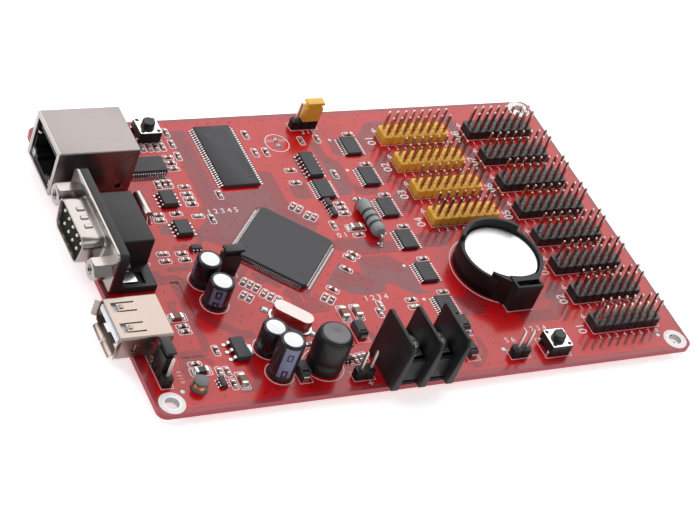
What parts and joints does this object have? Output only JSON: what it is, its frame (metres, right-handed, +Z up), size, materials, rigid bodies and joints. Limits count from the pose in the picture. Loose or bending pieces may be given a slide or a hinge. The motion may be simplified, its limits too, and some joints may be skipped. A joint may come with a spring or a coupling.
{
  "type": "driver board",
  "caption": "Populated driver board with pin-header ports, network, serial and USB sockets, a screw terminal, a coin cell, push buttons and jumpers.",
  "frame": {"origin": "centre of the four mounting holes, on the underside of the board", "axes": "+X along the long edge away from the sockets, +Y to the back edge, +Z up out of the board's top"},
  "size_m": [0.1558, 0.0977, 0.0181],
  "materials": {
    "board_red": "laminate with glossy red solder resist",
    "black_plastic": "moulded black plastic, fine matt",
    "yellow_plastic": "moulded yellow plastic",
    "white_plastic": "moulded off-white plastic",
    "grey_plastic": "moulded dark plastic",
    "light_pipe": "clear green-yellow light pipe",
    "plated_steel": "tin or nickel plated sheet",
    "plated_brass": "plated brass",
    "gold": "thin gold plating",
    "solder": "bright solder",
    "chip_black": "moulded package with tinned leads",
    "can_aluminium": "aluminium can in a dark printed sleeve",
    "ferrite": "pressed ferrite",
    "resistor_grey": "enamelled body",
    "ceramic": "fired ceramic with tinned ends"
  },
  "bodies": {
    "board": {"circuit_board": "board_red", "port_header_1": "black_plastic", "port_header_2": "black_plastic", "port_header_3": "black_plastic", "port_header_4": "black_plastic", "port_header_5": "black_plastic", "port_header_6": "black_plastic", "port_header_7": "black_plastic", "port_header_8": "black_plastic", "aux_header_1": "yellow_plastic", "aux_header_2": "yellow_plastic", "aux_header_3": "yellow_plastic", "aux_header_4": "yellow_plastic", "header_tails": "solder", "network_jack_shield": "plated_steel", "network_jack_insert": "black_plastic", "network_jack_contacts": "gold", "network_jack_lights": "light_pipe", "serial_shell": "plated_steel", "serial_housing": "grey_plastic", "serial_pins": "gold", "serial_jack_nuts": "plated_brass", "serial_board_clips": "plated_steel", "usb_shell": "plated_steel", "usb_tongue": "white_plastic", "usb_contacts": "gold", "terminal_body": "black_plastic", "terminal_plates": "plated_brass", "cell_holder": "black_plastic", "cell_contacts": "plated_steel", "button_cases": "black_plastic", "button_plates": "plated_steel", "button_domes": "plated_steel", "jumper_headers": "black_plastic", "spare_headers": "black_plastic", "processor": "chip_black", "memory_chip": "chip_black", "buffer_chips": "chip_black", "interface_chips": "chip_black", "regulator_chips": "chip_black", "capacitor_cans": "can_aluminium", "drum_inductor": "black_plastic", "small_inductor": "ferrite", "crystal_can": "plated_steel", "clock_can": "plated_steel", "power_resistor": "resistor_grey", "chip_parts": "ceramic", "chip_diodes": "chip_black"},
    "back_button_plunger": {"back_button_plunger": "black_plastic"},
    "front_button_plunger": {"front_button_plunger": "black_plastic"},
    "left_jumper_cap": {"left_jumper_cap": "black_plastic"},
    "back_jumper_cap": {"back_jumper_cap": "yellow_plastic"},
    "middle_jumper_cap": {"middle_jumper_cap": "black_plastic"},
    "coin_cell": {"coin_cell": "plated_steel"},
    "terminal_clamp_1": {"terminal_clamp_1": "plated_steel"},
    "terminal_clamp_2": {"terminal_clamp_2": "plated_steel"},
    "terminal_screw_1": {"terminal_screw_1": "plated_steel"},
    "terminal_screw_2": {"terminal_screw_2": "plated_steel"}
  },
  "joints": [
    {"name": "back_button_press", "type": "slide", "parent": "board", "child": "back_button_plunger", "axis": [0, 0, -1], "range_m": [0, 0.00025], "stiffness_N_per_m": 3000},
    {"name": "front_button_press", "type": "slide", "parent": "board", "child": "front_button_plunger", "axis": [0, 0, -1], "range_m": [0, 0.00025], "stiffness_N_per_m": 3000},
    {"name": "left_jumper_lift", "type": "slide", "parent": "board", "child": "left_jumper_cap", "axis": [0, 0, 1], "range_m": [0, 0.009]},
    {"name": "back_jumper_lift", "type": "slide", "parent": "board", "child": "back_jumper_cap", "axis": [0, 0, 1], "range_m": [0, 0.009]},
    {"name": "middle_jumper_lift", "type": "slide", "parent": "board", "child": "middle_jumper_cap", "axis": [0, 0, 1], "range_m": [0, 0.009]},
    {"name": "coin_cell_lift", "type": "slide", "parent": "board", "child": "coin_cell", "axis": [0, 0, 1], "range_m": [0, 0.009]},
    {"name": "terminal_clamp_1_lift", "type": "slide", "parent": "board", "child": "terminal_clamp_1", "axis": [0, 0, 1], "range_m": [0, 0.002]},
    {"name": "terminal_screw_1_turn", "type": "hinge", "parent": "terminal_clamp_1", "child": "terminal_screw_1", "pos_m": [-0.01171, -0.0433, 0.0098], "axis": [0, 0, 1], "range_deg": [0, 1440]},
    {"name": "terminal_clamp_2_lift", "type": "slide", "parent": "board", "child": "terminal_clamp_2", "axis": [0, 0, 1], "range_m": [0, 0.002]},
    {"name": "terminal_screw_2_turn", "type": "hinge", "parent": "terminal_clamp_2", "child": "terminal_screw_2", "pos_m": [-0.00409, -0.0433, 0.0098], "axis": [0, 0, 1], "range_deg": [0, 1440]}
  ],
  "couplings": [
    {"joint": "terminal_screw_1_turn", "follows": "terminal_clamp_1_lift", "rad_per_m": 12566},
    {"joint": "terminal_screw_2_turn", "follows": "terminal_clamp_2_lift", "rad_per_m": 12566}
  ]
}
